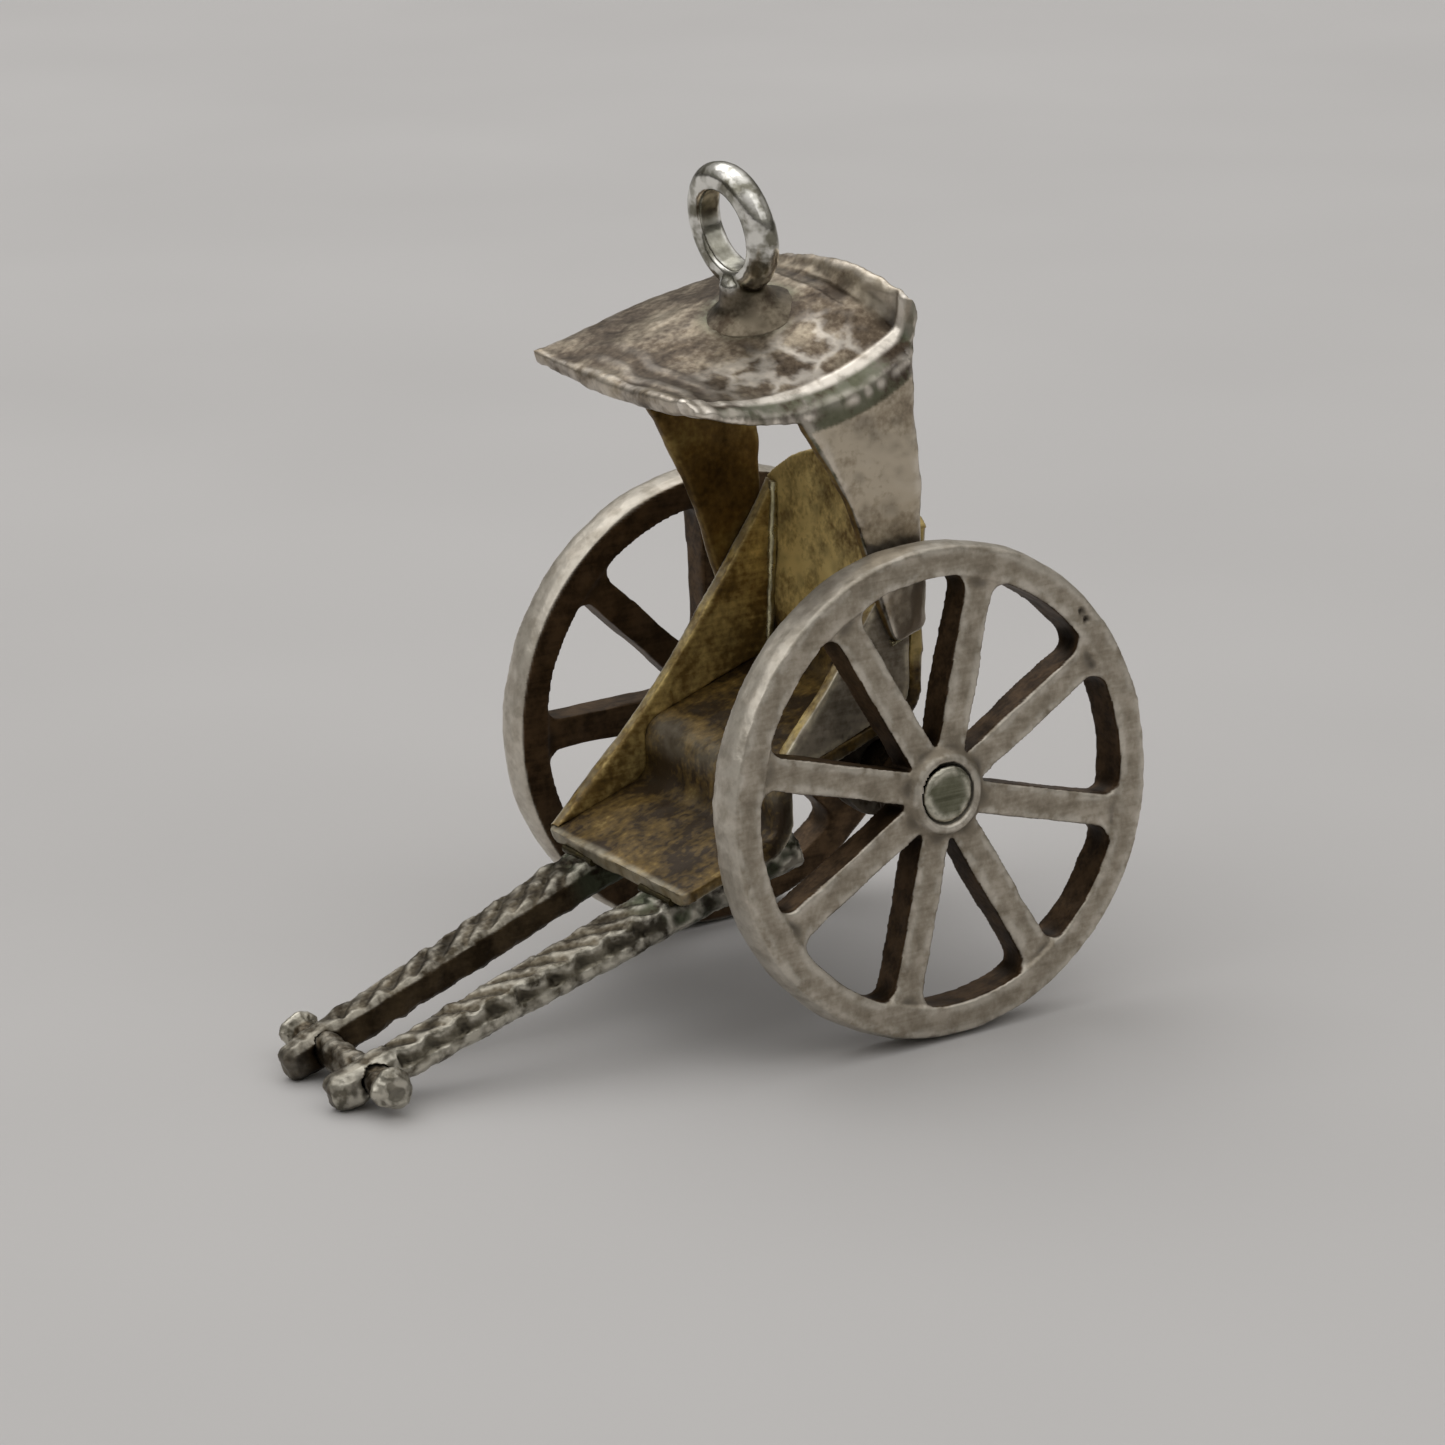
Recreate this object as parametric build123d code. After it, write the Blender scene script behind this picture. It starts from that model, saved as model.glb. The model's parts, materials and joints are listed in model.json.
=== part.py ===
from build123d import *
import os
from math import asin, atan2, ceil, cos, degrees, hypot, radians, sin, tan

# A small cast and soldered silver charm: a pulled rickshaw that rests on its wheels and shaft tips.
# Millimetres. +Z is up, the shafts point to -Y, and the vehicle's own left side is +X.
# The carriage is drawn level, with the axle's centre at the origin. At the end it tips forward
# about the axle until the shaft tips touch the floor, and the footprint's middle becomes the origin.

# Wheels
wheel_radius = 7.0
wheel_track = 11.4  # between the middle planes of the two rims
rim_width = 1.2  # along the axle
rim_depth = 0.95  # from the tread in to the spokes
tread_bevel = 0.1  # how far the tread's edges are worn down
tread_flat = 0.5  # width of the tread between its worn edges
spoke_count = 8
spoke_width = 0.92
spoke_thick = 1.0  # along the axle
spoke_flare = 0.45  # radius where a spoke runs out into the rim
hub_radius = 1.32
hub_outer = 0.7  # from the rim's middle plane out to the hub's end
hub_inner = 0.9  # from the rim's middle plane in to the hub's other end
hub_bevel = 0.25  # of the hub's outer shoulder
left_spoke_angle = 29.0  # turn of the nearest spoke up from straight back
right_spoke_angle = 1.0
left_wheel_lean = 5.0  # of the top towards the body
right_wheel_lean = 0.0
wheel_table = [
    # name, side, turn, lean
    ("wheel_left", 1, left_spoke_angle, left_wheel_lean),
    ("wheel_right", -1, right_spoke_angle, right_wheel_lean),
]

# Axle
axle_radius = 0.85  # between the wheels
journal_radius = 0.62  # inside a hub
running_clearance = 0.13  # between a journal and its worn hub, all round
end_float = 0.12  # on each side of a hub, along the axle
rivet_radius = 0.78
rivet_thick = 0.16
rivet_bevel = 0.06
rivet_recess = 0.26  # depth of the rivet's seat in the hub
hanger_wall = 0.5  # metal around the axle
hanger_thick = 0.9
hanger_centre = 2.8  # from the middle of the axle
solder_fit = 0.02  # between soldered round pieces

# Shafts and the bar across their tips
shaft_depth = 1.06
shaft_drop = 1.38  # from the axle's centre down to the underside of the shafts
shaft_reach = 18.2  # from the axle forward to the tips
shaft_rear = 3.3  # from the axle forward to the cut ends under the floor
shaft_rear_width = 1.9
shaft_tip_width = 0.8
shaft_rear_centre = 2.36  # sideways, at the cut ends
shaft_tip_centre = 1.35  # sideways, at the tips
shaft_bevel = 0.2  # of the long upper edges
tip_round = 0.4
lobe_pitch = 0.56  # of the chased rope pattern, square across its lobes
lobe_depth = 0.11
lobe_angle = 48.0  # of the lobes, from straight across
lobe_sink = 0.03  # of their crests below the plain top
lobe_side_angle = 25.0  # of the lobes on the outer side, from upright
lobe_wrap = 0.6  # how far they come down the outer side
rope_start = 0.75  # from the bar's centre back to the pattern
rope_end = 0.3  # from the floor's lip forward to the pattern
bar_radius = 0.42
bar_setback = 1.3  # from the tips
bar_half_length = 2.9
bar_head_radius = 0.58
bar_head_length = 0.5
bar_head_bevel = 0.18

# Seat, folded from one strip of sheet: floor, riser, seat and back
sheet = 0.45
body_half_width = 3.71
bend_radius = 0.65  # of every fold, on the strip's upper face
floor_front = 7.4  # from the axle forward to the floor's front lip
floor_length = 3.42
riser_height = 1.5
riser_recline = 17.5
seat_depth = 4.65
back_length = 6.4  # up the slope of the back
back_recline = 20.8
back_crown = 1.3  # rise of the back's rounded top
lip_corner_round = 0.3
side_lip_setback = 0.15  # of the closed side, from the floor's lip
side_edge_sag = 0.45  # of the sloping edge, below a straight line
step_in_setback = 0.5  # of the open side, behind the riser's top

# Canopy: a roof with two straps bent down from its edges
canopy_sheet = 0.45
roof_height = 12.95  # from the axle's centre to the top of the roof's middle
roof_front = 2.65  # from the axle forward to the roof's front edge
roof_bend = 0.9  # from the axle back to the roof's middle section
roof_crease = 4.3  # from the axle back to the crease of the rear lip
roof_rear = 4.9  # from the axle back to the rear lip's edge
fold_round = 0.3  # of the roof's folded left edge
strap_foot_height = 3.6  # from the axle's centre
strap_recline = 16.0  # of the straps' straight rear edges
strap_flare_height = 7.4  # from the axle's centre, where the front edge starts to sweep forward
strap_flare_drop = 1.65  # from the top of the roof's middle down to where it ends
strap_flare = 0.75  # how far it has swept forward there
strap_flare_sag = 0.12  # of the swept edge, behind a straight line
strap_foot_round = 0.4

# Bail, the hanging ring on the roof, of round wire worn flat inside
bail_bore_radius = 1.15
bail_wire_radius = 0.45
bail_wire_sides = 12  # of the wire's section, which keeps within 0.02 mm of round
bail_flat = 0.18  # how much of the wire is worn away inside
bail_place = 2.1  # from the axle back to the ring's foot
bail_lean = 7.5  # back from upright, on the level carriage
bail_rise = 0.5  # of the ring's underside above the roof
solder_foot_radius = 1.0
solder_neck_radius = 0.78

# Worked out from the sizes above
rim_inner_radius = wheel_radius - rim_depth
bore_radius = journal_radius + running_clearance
shoulder_x = wheel_track / 2 - hub_inner - end_float
rivet_x = wheel_track / 2 + hub_outer - rivet_recess + end_float
shaft_top = shaft_depth - shaft_drop
floor_height = shaft_top + sheet
seat_height = floor_height + riser_height
riser_foot = floor_length - floor_front
seat_front = riser_foot + riser_height * tan(radians(riser_recline))
seat_rear = seat_front + seat_depth
shoulder_length = back_length - back_crown
canopy_half_width = body_half_width + canopy_sheet
strap_flare_top = roof_height - strap_flare_drop
tip_centre_reach = shaft_reach - tip_round
tip_centre_drop = shaft_drop - tip_round
rest_tilt = degrees(
    asin((wheel_radius - tip_round) / hypot(tip_centre_reach, tip_centre_drop))
    - atan2(tip_centre_drop, tip_centre_reach)
)


def along_back(distance):
    """Point on the front face of the seat's back, that far up its slope, as (y, z)."""
    lean = radians(back_recline)
    return (seat_rear + distance * sin(lean), seat_height + distance * cos(lean))


def make_wheel():
    """Cast wheel about the X axis, centred on the origin, with its hub's bevel towards +X."""
    tread_edge = wheel_radius - tread_bevel
    with BuildSketch(Plane.XZ) as rim_section:
        with BuildLine():
            Polyline(
                (rim_inner_radius, -rim_width / 2),
                (tread_edge, -rim_width / 2),
                (wheel_radius, -tread_flat / 2),
                (wheel_radius, tread_flat / 2),
                (tread_edge, rim_width / 2),
                (rim_inner_radius, rim_width / 2),
                close=True,
            )
        make_face()
    rim = revolve(rim_section.sketch, Axis.Z)

    spoke = Rectangle(wheel_radius, spoke_width, align=(Align.MIN, Align.CENTER))
    spokes = Sketch() + [Rot(Z=number * 360 / spoke_count) * spoke for number in range(spoke_count)]
    windows = Circle(rim_inner_radius) - Circle(hub_radius) - spokes
    half_way = (rim_inner_radius + hub_radius) / 2
    at_rim = windows.vertices().filter_by(lambda corner: hypot(corner.X, corner.Y) > half_way)
    windows = fillet(at_rim, spoke_flare)
    web_face = Circle(wheel_radius - rim_depth / 2) - windows
    web = extrude(web_face, spoke_thick / 2, both=True)

    upwards = (Align.CENTER, Align.CENTER, Align.MIN)
    hub = Pos(Z=-hub_inner) * Cylinder(hub_radius, hub_inner + hub_outer, align=upwards)
    hub = chamfer(hub.edges().group_by(Axis.Z)[-1], hub_bevel)
    bore = Cylinder(bore_radius, 4 * hub_inner)
    seat_for_rivet = Pos(Z=hub_outer - rivet_recess) * Cylinder(
        rivet_radius + running_clearance, rivet_recess, align=upwards
    )
    return Rot(Y=90) * (rim + web + hub - bore - seat_for_rivet)


def make_axle():
    """Stepped rod with a shoulder inside each hub and a riveted head outside it."""
    with BuildSketch(Plane.XY) as half_section:
        with BuildLine():
            Polyline(
                (0, 0),
                (0, axle_radius),
                (shoulder_x, axle_radius),
                (shoulder_x, journal_radius),
                (rivet_x, journal_radius),
                (rivet_x, rivet_radius),
                (rivet_x + rivet_thick, rivet_radius),
                (rivet_x + rivet_thick, 0),
                close=True,
            )
        make_face()
        outer_rim = half_section.vertices().group_by(Axis.X)[-1].sort_by(Axis.Y)[-1]
        chamfer(outer_rim, rivet_bevel)
    half = revolve(half_section.sketch, Axis.X)
    return half + mirror(half, Plane.YZ)


def make_hanger(seat, side):
    """Lug under the seat that holds the axle, rounded about it below."""
    lug_radius = axle_radius + hanger_wall
    seat_underside = seat_height - sheet
    lug = Circle(lug_radius) + Rectangle(2 * lug_radius, seat_underside, align=(Align.CENTER, Align.MIN))
    lug -= Circle(axle_radius + solder_fit)
    hanger = extrude(Plane.YZ * lug, hanger_thick / 2, both=True)
    return Pos(X=side * hanger_centre) * hanger - seat


def make_seat():
    """Strip of sheet folded into floor, riser, seat and back, with a rounded top."""
    with BuildSketch(Plane.YZ) as profile:
        with BuildLine():
            upper = FilletPolyline(
                (-floor_front, floor_height),
                (riser_foot, floor_height),
                (seat_front, seat_height),
                (seat_rear, seat_height),
                along_back(back_length),
                radius=bend_radius,
            )
            offset(upper, amount=sheet, side=Side.RIGHT)
        make_face()
    seat = extrude(profile.sketch, body_half_width, both=True)

    lip_corners = seat.edges().filter_by(Axis.Z).group_by(Axis.Y)[0]
    seat = fillet(lip_corners, lip_corner_round)

    lean = radians(back_recline)
    back_plane = Plane((0, seat_rear, seat_height), x_dir=(1, 0, 0), z_dir=(0, -cos(lean), sin(lean)))
    with BuildSketch(back_plane) as above_the_back:
        with BuildLine():
            ThreePointArc(
                (-body_half_width, shoulder_length),
                (0, back_length),
                (body_half_width, shoulder_length),
            )
            Polyline(
                (body_half_width, shoulder_length),
                (body_half_width, back_length + sheet),
                (-body_half_width, back_length + sheet),
                (-body_half_width, shoulder_length),
            )
        make_face()
    return seat - extrude(above_the_back.sketch, 2 * sheet, both=True)


def make_side(seat, side, front):
    """Side sheet that stands on the folded strip behind the place called front, inside its edge."""
    inside = sheet / 2
    shoulder = along_back(shoulder_length)
    with BuildSketch(Plane.YZ) as outline:
        with BuildLine():
            lip = (side_lip_setback - floor_front, floor_height)
            SagittaArc(lip, shoulder, -side_edge_sag)
            Polyline(
                shoulder,
                (shoulder[0] + inside, shoulder[1]),
                (seat_rear + inside, seat_height - inside),
                (seat_front + inside, seat_height - inside),
                (riser_foot + inside, floor_height - inside),
                (lip[0], floor_height - inside),
                lip,
            )
        make_face()
    standing = extrude(outline.sketch, sheet)
    standing = Pos(X=body_half_width - sheet) * standing - seat
    in_front = Pos(Y=front) * Box(
        3 * body_half_width, floor_front, 2 * roof_height, align=(Align.CENTER, Align.MAX, Align.CENTER)
    )
    panel = (standing - in_front).solids().sort_by(SortBy.VOLUME)[-1]
    if side < 0:
        panel = mirror(panel, Plane.YZ)
    return panel


# The roof's sections. It was bent by hand, so its left edge hangs lower than its right one.
front_section, bend_section, crease_section, rear_section = [
    # place along Y, rise of the middle, drop of the left edge, drop of the right edge
    (-roof_front, 0.0, -0.3, -0.25),
    (roof_bend, 0.0, 1.65, 0.1),
    (roof_crease, 0.0, 1.55, 0.6),
    (roof_rear, 0.3, 0.35, 0.8),
]
saddle_sections = [front_section, bend_section, crease_section]
rear_lip_sections = [crease_section, rear_section]

# The two straps, cut by hand too
strap_table = [
    # side, place of the foot's front along Y, width of the foot
    (1, 1.05, 1.15),
    (-1, 0.5, 1.5),
]


def roof_loft(sections, thick, sunk=0.0):
    """Sheet of that thickness under the roof's upper face, or as far below that face as it is sunk."""
    faces = []
    for place, rise, left_drop, right_drop in sections:
        upper = roof_height - sunk
        left, middle, right = upper - left_drop, upper + rise, upper - right_drop
        with BuildSketch(Plane.XZ.offset(-place)) as section:
            with BuildLine():
                ThreePointArc((canopy_half_width, left), (0, middle), (-canopy_half_width, right))
                Line((-canopy_half_width, right), (-canopy_half_width, right - thick))
                ThreePointArc(
                    (-canopy_half_width, right - thick),
                    (0, middle - thick),
                    (canopy_half_width, left - thick),
                )
                Line((canopy_half_width, left - thick), (canopy_half_width, left))
            make_face()
        faces.append(section.sketch.face())
    return loft(faces)


def make_roof():
    """Saddle-shaped sheet with a rounded fold along its left edge and a rear lip that turns up."""
    saddle = roof_loft(saddle_sections, canopy_sheet)
    left_edges = saddle.edges().filter_by_position(
        Axis.X, canopy_half_width - solder_fit, canopy_half_width + solder_fit
    )
    fold = left_edges.filter_by(lambda edge: edge.length > roof_front).sort_by(Axis.Z)[-1]
    saddle = fillet(fold, fold_round)
    return saddle + roof_loft(rear_lip_sections, canopy_sheet)


def make_canopy():
    """Roof with a strap bent down from each edge to the seat's side."""
    canopy = make_roof()
    recline = tan(radians(strap_recline))
    room_below = roof_loft(saddle_sections, roof_height, canopy_sheet / 2)
    for side, foot_front, foot_width in strap_table:
        foot_rear = foot_front + foot_width
        swept_front = foot_front - strap_flare
        with BuildSketch(Plane.YZ) as outline:
            with BuildLine():
                Polyline(
                    (foot_front, strap_flare_height),
                    (foot_front, strap_foot_height),
                    (foot_rear, strap_foot_height),
                    (foot_rear + (roof_height - strap_foot_height) * recline, roof_height),
                    (swept_front, roof_height),
                    (swept_front, strap_flare_top),
                )
                flare_end = (swept_front, strap_flare_top)
                SagittaArc(flare_end, (foot_front, strap_flare_height), strap_flare_sag)
            make_face()
            fillet(outline.vertices().group_by(Axis.Y)[0], strap_foot_round)
        strap = extrude(outline.sketch, side * canopy_sheet)
        canopy += Pos(X=side * body_half_width) * strap & room_below
    return canopy


def make_bail():
    """Ring of round wire, worn flat inside, standing on a foot of solder on the roof."""
    wire_circle = bail_bore_radius - bail_flat + bail_wire_radius
    wire = Pos(X=wire_circle) * RegularPolygon(bail_wire_radius, bail_wire_sides)
    ring = revolve(Plane.XZ * wire, Axis.Z) - Cylinder(bail_bore_radius, 4 * bail_wire_radius)
    ring_centre = bail_rise + wire_circle + bail_wire_radius
    ring = Rot(X=-bail_lean) * Pos(Z=ring_centre) * Rot(X=90) * ring

    foot_height = bail_rise + bail_wire_radius
    foot = Cone(solder_foot_radius, solder_neck_radius, foot_height + canopy_sheet)
    foot = Pos(Z=(foot_height - canopy_sheet) / 2) * foot
    return Pos(0, bail_place, roof_height) * (ring + foot) - roof_loft(saddle_sections, 3 * canopy_sheet)


def between_lobes(plane, first_valley, pitch, count):
    """Face that stays clear of a row of lobes whose crests lie on the plane's x axis."""
    finish = first_valley + count * pitch
    with BuildSketch(plane) as clear_of_lobes:
        with BuildLine():
            for number in range(count):
                valley = first_valley + number * pitch
                ThreePointArc(
                    (valley, -lobe_depth),
                    (valley + pitch / 2, 0),
                    (valley + pitch, -lobe_depth),
                )
            Polyline(
                (finish, -lobe_depth),
                (finish, shaft_depth),
                (first_valley, shaft_depth),
                (first_valley, -lobe_depth),
            )
        make_face()
    return clear_of_lobes.sketch


def make_shaft():
    """Left shaft: tapered bar with a rope of slanting lobes chased over its top and down its outer side."""
    rear_half, tip_half = shaft_rear_width / 2, shaft_tip_width / 2
    with BuildSketch(Plane.XY.offset(-shaft_drop)) as plan:
        with BuildLine():
            Polyline(
                (shaft_rear_centre - rear_half, -shaft_rear),
                (shaft_rear_centre + rear_half, -shaft_rear),
                (shaft_tip_centre + tip_half, -shaft_reach),
                (shaft_tip_centre - tip_half, -shaft_reach),
                close=True,
            )
        make_face()
    shaft = extrude(plan.sketch, shaft_depth)
    shaft = fillet(shaft.edges().filter_by(Axis.X).group_by(Axis.Y)[0], tip_round)
    long_edges = shaft.edges().filter_by(lambda edge: edge.length > shaft_reach / 2)
    shaft = chamfer(long_edges.group_by(Axis.Z)[-1], shaft_bevel)

    bar_place = shaft_reach - bar_setback
    rope_front = bar_place - rope_start
    rope_rear = floor_front + rope_end
    slant = radians(lobe_angle)
    across = shaft_rear_centre + shaft_rear_width
    lobe_count = ceil(((rope_front - rope_rear) * cos(slant) + 2 * across * sin(slant)) / lobe_pitch)
    over_the_top = Plane(
        (0, -rope_front, shaft_top - lobe_sink),
        x_dir=(-sin(slant), cos(slant), 0),
        z_dir=(cos(slant), sin(slant), 0),
    )
    first_valley = -across * sin(slant)
    chased = extrude(
        between_lobes(over_the_top, first_valley, lobe_pitch, lobe_count), shaft_reach, both=True
    )

    # The same lobes where they come over the outer edge, and on down the outer side
    tip_outer = shaft_tip_centre + tip_half
    taper = (shaft_rear_centre + rear_half - tip_outer) / (shaft_reach - shaft_rear)
    outer_start = tip_outer + taper * (shaft_reach - rope_front)
    outer_step = hypot(1, taper) / (cos(slant) - taper * sin(slant))
    down_the_side = Plane(
        (outer_start - lobe_sink, -rope_front, shaft_top), x_dir=(taper, 1, 0), z_dir=(0, 0, -1)
    )
    lean = radians(lobe_side_angle)
    wrapped = extrude(
        between_lobes(
            down_the_side,
            (first_valley + outer_start * sin(slant)) * outer_step,
            lobe_pitch * outer_step,
            lobe_count,
        ),
        lobe_wrap / cos(lean),
        dir=(0, sin(lean), -cos(lean)),
    )
    from_the_front = (Align.CENTER, Align.MIN, Align.CENTER)
    stretch = Box(2 * shaft_reach, rope_front - rope_rear, shaft_reach, align=from_the_front)
    for clear_of_lobes in (chased, wrapped):
        shaft -= clear_of_lobes & Pos(Y=-rope_front) * stretch

    hole = Rot(Y=90) * Cylinder(bar_radius + solder_fit, 4 * bar_half_length)
    return shaft - Pos(0, -bar_place, shaft_top - shaft_depth / 2) * hole


def make_bar():
    """Cross bar through both shafts, with hammered heads outside them."""
    bar = Cylinder(bar_radius, 2 * bar_half_length)
    head = Cylinder(bar_head_radius, bar_head_length)
    head = chamfer(head.edges().filter_by(GeomType.CIRCLE), bar_head_bevel)
    for end in (-1, 1):
        bar += Pos(Z=end * (bar_half_length - bar_head_length / 2)) * head
    return Pos(0, bar_setback - shaft_reach, shaft_top - shaft_depth / 2) * Rot(Y=90) * bar


seat = make_seat()
shaft = make_shaft()
wheel = make_wheel()

carriage = {
    "axle": make_axle(),
    "axle_hanger_left": make_hanger(seat, 1),
    "axle_hanger_right": make_hanger(seat, -1),
    "seat": seat,
    "seat_side_left": make_side(seat, 1, seat_front + step_in_setback),
    "seat_side_right": make_side(seat, -1, -floor_front),
    "canopy": make_canopy(),
    "bail": make_bail(),
    "shaft_left": shaft,
    "shaft_right": mirror(shaft, Plane.YZ),
    "crossbar": make_bar(),
}
wheels = {}
for name, side, turn, lean in wheel_table:
    upright = Rot(X=turn) * (wheel if side > 0 else mirror(wheel, Plane.YZ))
    wheels[name] = Pos(X=side * wheel_track / 2) * Rot(Y=-side * lean) * upright

# Tip the carriage onto its shafts, stand it on the floor and put the origin under its middle
tipped_shaft = Rot(X=rest_tilt) * shaft
footprint_middle = (tipped_shaft.bounding_box().min.Y + wheel_radius) / 2
stand = Pos(0, -footprint_middle, wheel_radius)
placed = {name: stand * Rot(X=rest_tilt) * solid for name, solid in carriage.items()}
placed.update({name: stand * solid for name, solid in wheels.items()})

os.makedirs("parts", exist_ok=True)
for name, solid in placed.items():
    solid.label = name
    export_step(solid, f"parts/{name}.step")
    box = solid.bounding_box()
    print(f"{name}: volume {solid.volume:.2f} mm3, from {tuple(box.min)} to {tuple(box.max)}")
print(f"tilt {rest_tilt:.3f} degrees, axle at y {-footprint_middle:.4f}, z {wheel_radius:.4f}")
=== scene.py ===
# %% [markdown]
# # A silver rickshaw charm
# The real thing is about 24 mm long: two cast wheels on an axle, a seat folded from one strip of
# sheet, a canopy bent by hand, two chased shafts and a ring to hang it by. Everything is old
# silver, so the whole lesson is about one metal that has aged in different ways. We load the
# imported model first, because every finished piece is made from it and stays in its frame.

import json
from math import cos, radians, sin

import bmesh
import bpy
import numpy as np
from mathutils import Matrix, Vector, noise

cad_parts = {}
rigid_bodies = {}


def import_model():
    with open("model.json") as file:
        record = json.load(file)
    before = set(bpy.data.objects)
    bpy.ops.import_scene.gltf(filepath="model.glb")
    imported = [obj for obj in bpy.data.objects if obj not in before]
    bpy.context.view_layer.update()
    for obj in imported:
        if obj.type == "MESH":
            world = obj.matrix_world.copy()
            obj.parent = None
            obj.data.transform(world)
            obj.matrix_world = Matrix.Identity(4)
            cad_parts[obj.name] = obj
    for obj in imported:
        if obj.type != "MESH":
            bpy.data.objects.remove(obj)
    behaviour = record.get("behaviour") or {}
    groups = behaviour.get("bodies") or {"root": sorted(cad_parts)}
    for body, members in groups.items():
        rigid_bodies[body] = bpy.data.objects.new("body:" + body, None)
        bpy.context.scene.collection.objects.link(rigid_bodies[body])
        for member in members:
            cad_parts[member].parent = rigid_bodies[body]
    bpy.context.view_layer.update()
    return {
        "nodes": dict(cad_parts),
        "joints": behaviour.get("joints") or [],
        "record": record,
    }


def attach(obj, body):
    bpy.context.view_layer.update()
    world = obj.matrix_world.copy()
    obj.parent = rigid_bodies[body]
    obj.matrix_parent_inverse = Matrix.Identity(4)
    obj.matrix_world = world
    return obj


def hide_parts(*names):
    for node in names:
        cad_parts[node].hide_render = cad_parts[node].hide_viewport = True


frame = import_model()
mm = 0.001
scene_objects = bpy.context.scene.collection.objects
axle_y = frame["joints"][0]["pos_m"][1]
axle_z = frame["joints"][0]["pos_m"][2]

# %% [markdown]
# ## Camera
# The charm was photographed from its front left, from a little above, with a long lens. A camera
# is four directions: where it stands, and which way its right, its up and its back point. We work
# those out from angles round the axle, because angles can be compared with the picture.

# %% Camera
photo_side = 1445  # pixels
focal_length_in_pixels = 4500
azimuth = radians(57.595)
elevation = radians(17.334)
roll = radians(-1.296)
camera_distance = 132.35 * mm
aim = Vector((-4.07 * mm, axle_y - 0.70 * mm, 6.64 * mm))

back = Vector((sin(azimuth) * cos(elevation), -cos(azimuth) * cos(elevation), sin(elevation)))
level_right = Vector((cos(azimuth), sin(azimuth), 0))
level_up = back.cross(level_right)
right = cos(roll) * level_right + sin(roll) * level_up
up = cos(roll) * level_up - sin(roll) * level_right

camera_data = bpy.data.cameras.new("camera")
camera_data.lens = focal_length_in_pixels / photo_side * camera_data.sensor_width
camera_data.clip_start = 1 * mm
camera = bpy.data.objects.new("camera", camera_data)
scene_objects.link(camera)
camera_turn = Matrix((right, up, back)).transposed().to_4x4()
camera.matrix_world = Matrix.Translation(aim + back * camera_distance) @ camera_turn
bpy.context.scene.camera = camera
bpy.context.scene.view_settings.view_transform = "Standard"
print("lens in mm:", round(camera_data.lens, 1))

# %% [markdown]
# ## One function for shader nodes
# Every finish below is a small graph of nodes. Adding a node always takes the same three steps:
# make it, set its options, and fill its sockets with a value or with another node's output. One
# function does that for every kind. Colours are written as they look on screen, in hex, and are
# turned into the linear light values that the renderer works with.


# %% Colours and nodes
def linear(hex_colour):
    """Linear RGBA of an sRGB colour such as '8c7641'."""
    channels = [int(hex_colour[place : place + 2], 16) / 255 for place in (0, 2, 4)]
    return [c / 12.92 if c <= 0.04045 else ((c + 0.055) / 1.055) ** 2.4 for c in channels] + [1.0]


def add(tree, kind, inputs=None, stops=(), **options):
    """Adds one node. inputs maps a socket to a value, an output or a node, whose first output is meant."""
    node = tree.nodes.new(kind)
    for name, value in options.items():
        setattr(node, name, value)
    for socket, value in (inputs or {}).items():
        if isinstance(value, bpy.types.Node):
            value = next(output for output in value.outputs if output.enabled)
        if isinstance(value, bpy.types.NodeSocket):
            tree.links.new(value, node.inputs[socket])
        else:
            node.inputs[socket].default_value = value
    if stops:
        elements = node.color_ramp.elements
        for element, (place, colour) in zip(elements, (stops[0], stops[-1])):
            element.position = place
            element.color = linear(colour)
        for place, colour in stops[1:-1]:
            elements.new(place).color = linear(colour)
    return node


def new_material(name):
    """An empty node material, as (material, tree, output)."""
    material = bpy.data.materials.new(name)
    material.use_nodes = True
    tree = material.node_tree
    tree.nodes.clear()
    return material, tree, add(tree, "ShaderNodeOutputMaterial")


# %% [markdown]
# ## Floor and light
# The charm stands on plain pale paper that runs back a long way, so no edge of it shows. The light
# is soft and comes mostly from above and from the camera's left, and a weak lamp on the right fills
# the shadows. All lamps are a metre off, which keeps the paper evenly bright. A lamp of power P at
# the distance d gives P / (pi d)^2 of a surface's written brightness, so we choose that share and
# work out the power. The room is dark near the horizon and bright above, because polished metal
# needs something dark to reflect.

# %% Floor
floor_half_side = 20000 * mm
floor_corners = [
    (x * floor_half_side, y * floor_half_side, 0) for x, y in ((-1, -1), (1, -1), (1, 1), (-1, 1))
]
floor_mesh = bpy.data.meshes.new("paper_floor")
floor_mesh.from_pydata(floor_corners, [], [(0, 1, 2, 3)])
floor = bpy.data.objects.new("paper_floor", floor_mesh)
scene_objects.link(floor)

# Matt paper: a pale warm grey with a very fine tooth.
cloud_size = 30 * mm
tooth_size = 0.5 * mm
tooth_depth = 0.05 * mm
paper, tree, output = new_material("matt_paper")
place = add(tree, "ShaderNodeTexCoord").outputs["Object"]
cloud = add(tree, "ShaderNodeTexNoise", {"Vector": place, "Scale": 1 / cloud_size, "Detail": 2})
tone = add(tree, "ShaderNodeValToRGB", {"Fac": cloud}, [(0.3, "c4c2c1"), (0.7, "c9c7c6")])
tooth = add(tree, "ShaderNodeTexNoise", {"Vector": place, "Scale": 1 / tooth_size, "Detail": 3})
bump = add(tree, "ShaderNodeBump", {"Height": tooth, "Strength": 0.15, "Distance": tooth_depth})
shader = add(tree, "ShaderNodeBsdfPrincipled", {"Base Color": tone, "Normal": bump, "Roughness": 0.9})
tree.links.new(shader.outputs["BSDF"], output.inputs["Surface"])
floor_mesh.materials.append(paper)

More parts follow.
